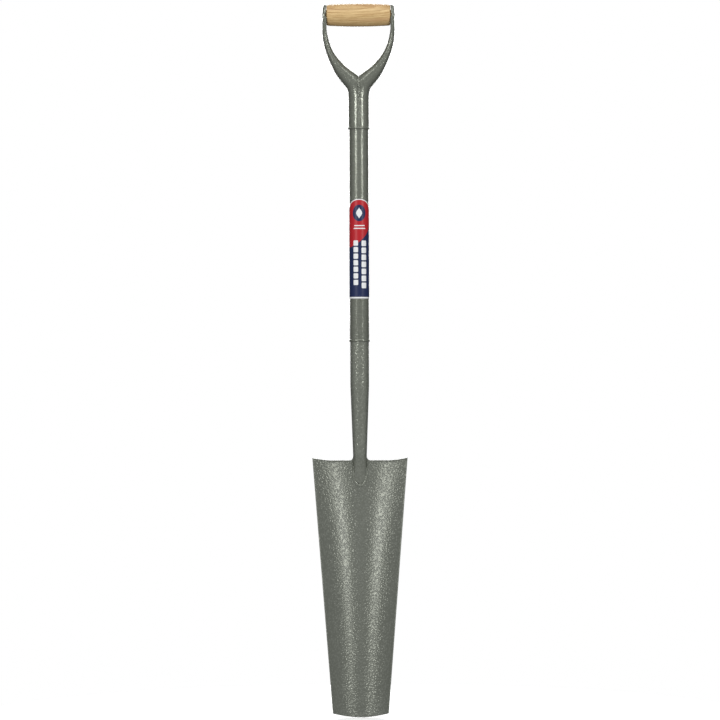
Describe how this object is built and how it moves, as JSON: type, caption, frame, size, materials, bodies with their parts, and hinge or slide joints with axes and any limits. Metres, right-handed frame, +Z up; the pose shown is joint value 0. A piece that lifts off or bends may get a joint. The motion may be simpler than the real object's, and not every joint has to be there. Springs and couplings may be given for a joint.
{
  "type": "draining spade",
  "caption": "Long narrow digging spade with a dished, tapered steel blade, a tapered socket, a straight steel tube shaft and a Y-shaped steel yoke holding a wooden barrel grip.",
  "frame": {"origin": "on the axis of the shaft, level with the lowest point of the cutting edge", "axes": "+Z up the shaft from the cutting edge to the grip, -Y out of the hollow working face of the blade, +X to the right for someone facing that side, along the grip"},
  "size_m": [0.1494, 0.0447, 1.1203],
  "materials": {
    "hammered_enamel": "grey-green metallic hammered enamel, semi-gloss",
    "bare_steel": "drawn steel, unpainted",
    "rivet_steel": "low rivet heads under the same enamel",
    "grip_wood": "turned pale ring-porous hardwood, thin satin varnish",
    "label_vinyl": "printed vinyl sticker, dark blue with a red head and white edge"
  },
  "bodies": {
    "root": {"blade": "hammered_enamel", "blade_socket": "hammered_enamel", "foot_weld_front": "hammered_enamel", "foot_weld_back": "hammered_enamel", "lower_joint_sleeve": "bare_steel", "lower_weld_ring": "hammered_enamel", "shaft_tube": "hammered_enamel", "upper_joint_sleeve": "bare_steel", "upper_weld_ring": "hammered_enamel", "yoke_left": "hammered_enamel", "yoke_right": "hammered_enamel", "crotch_weld_front": "hammered_enamel", "crotch_weld_back": "hammered_enamel", "grip": "grip_wood", "grip_rivet": "rivet_steel", "label": "label_vinyl"}
  },
  "joints": []
}
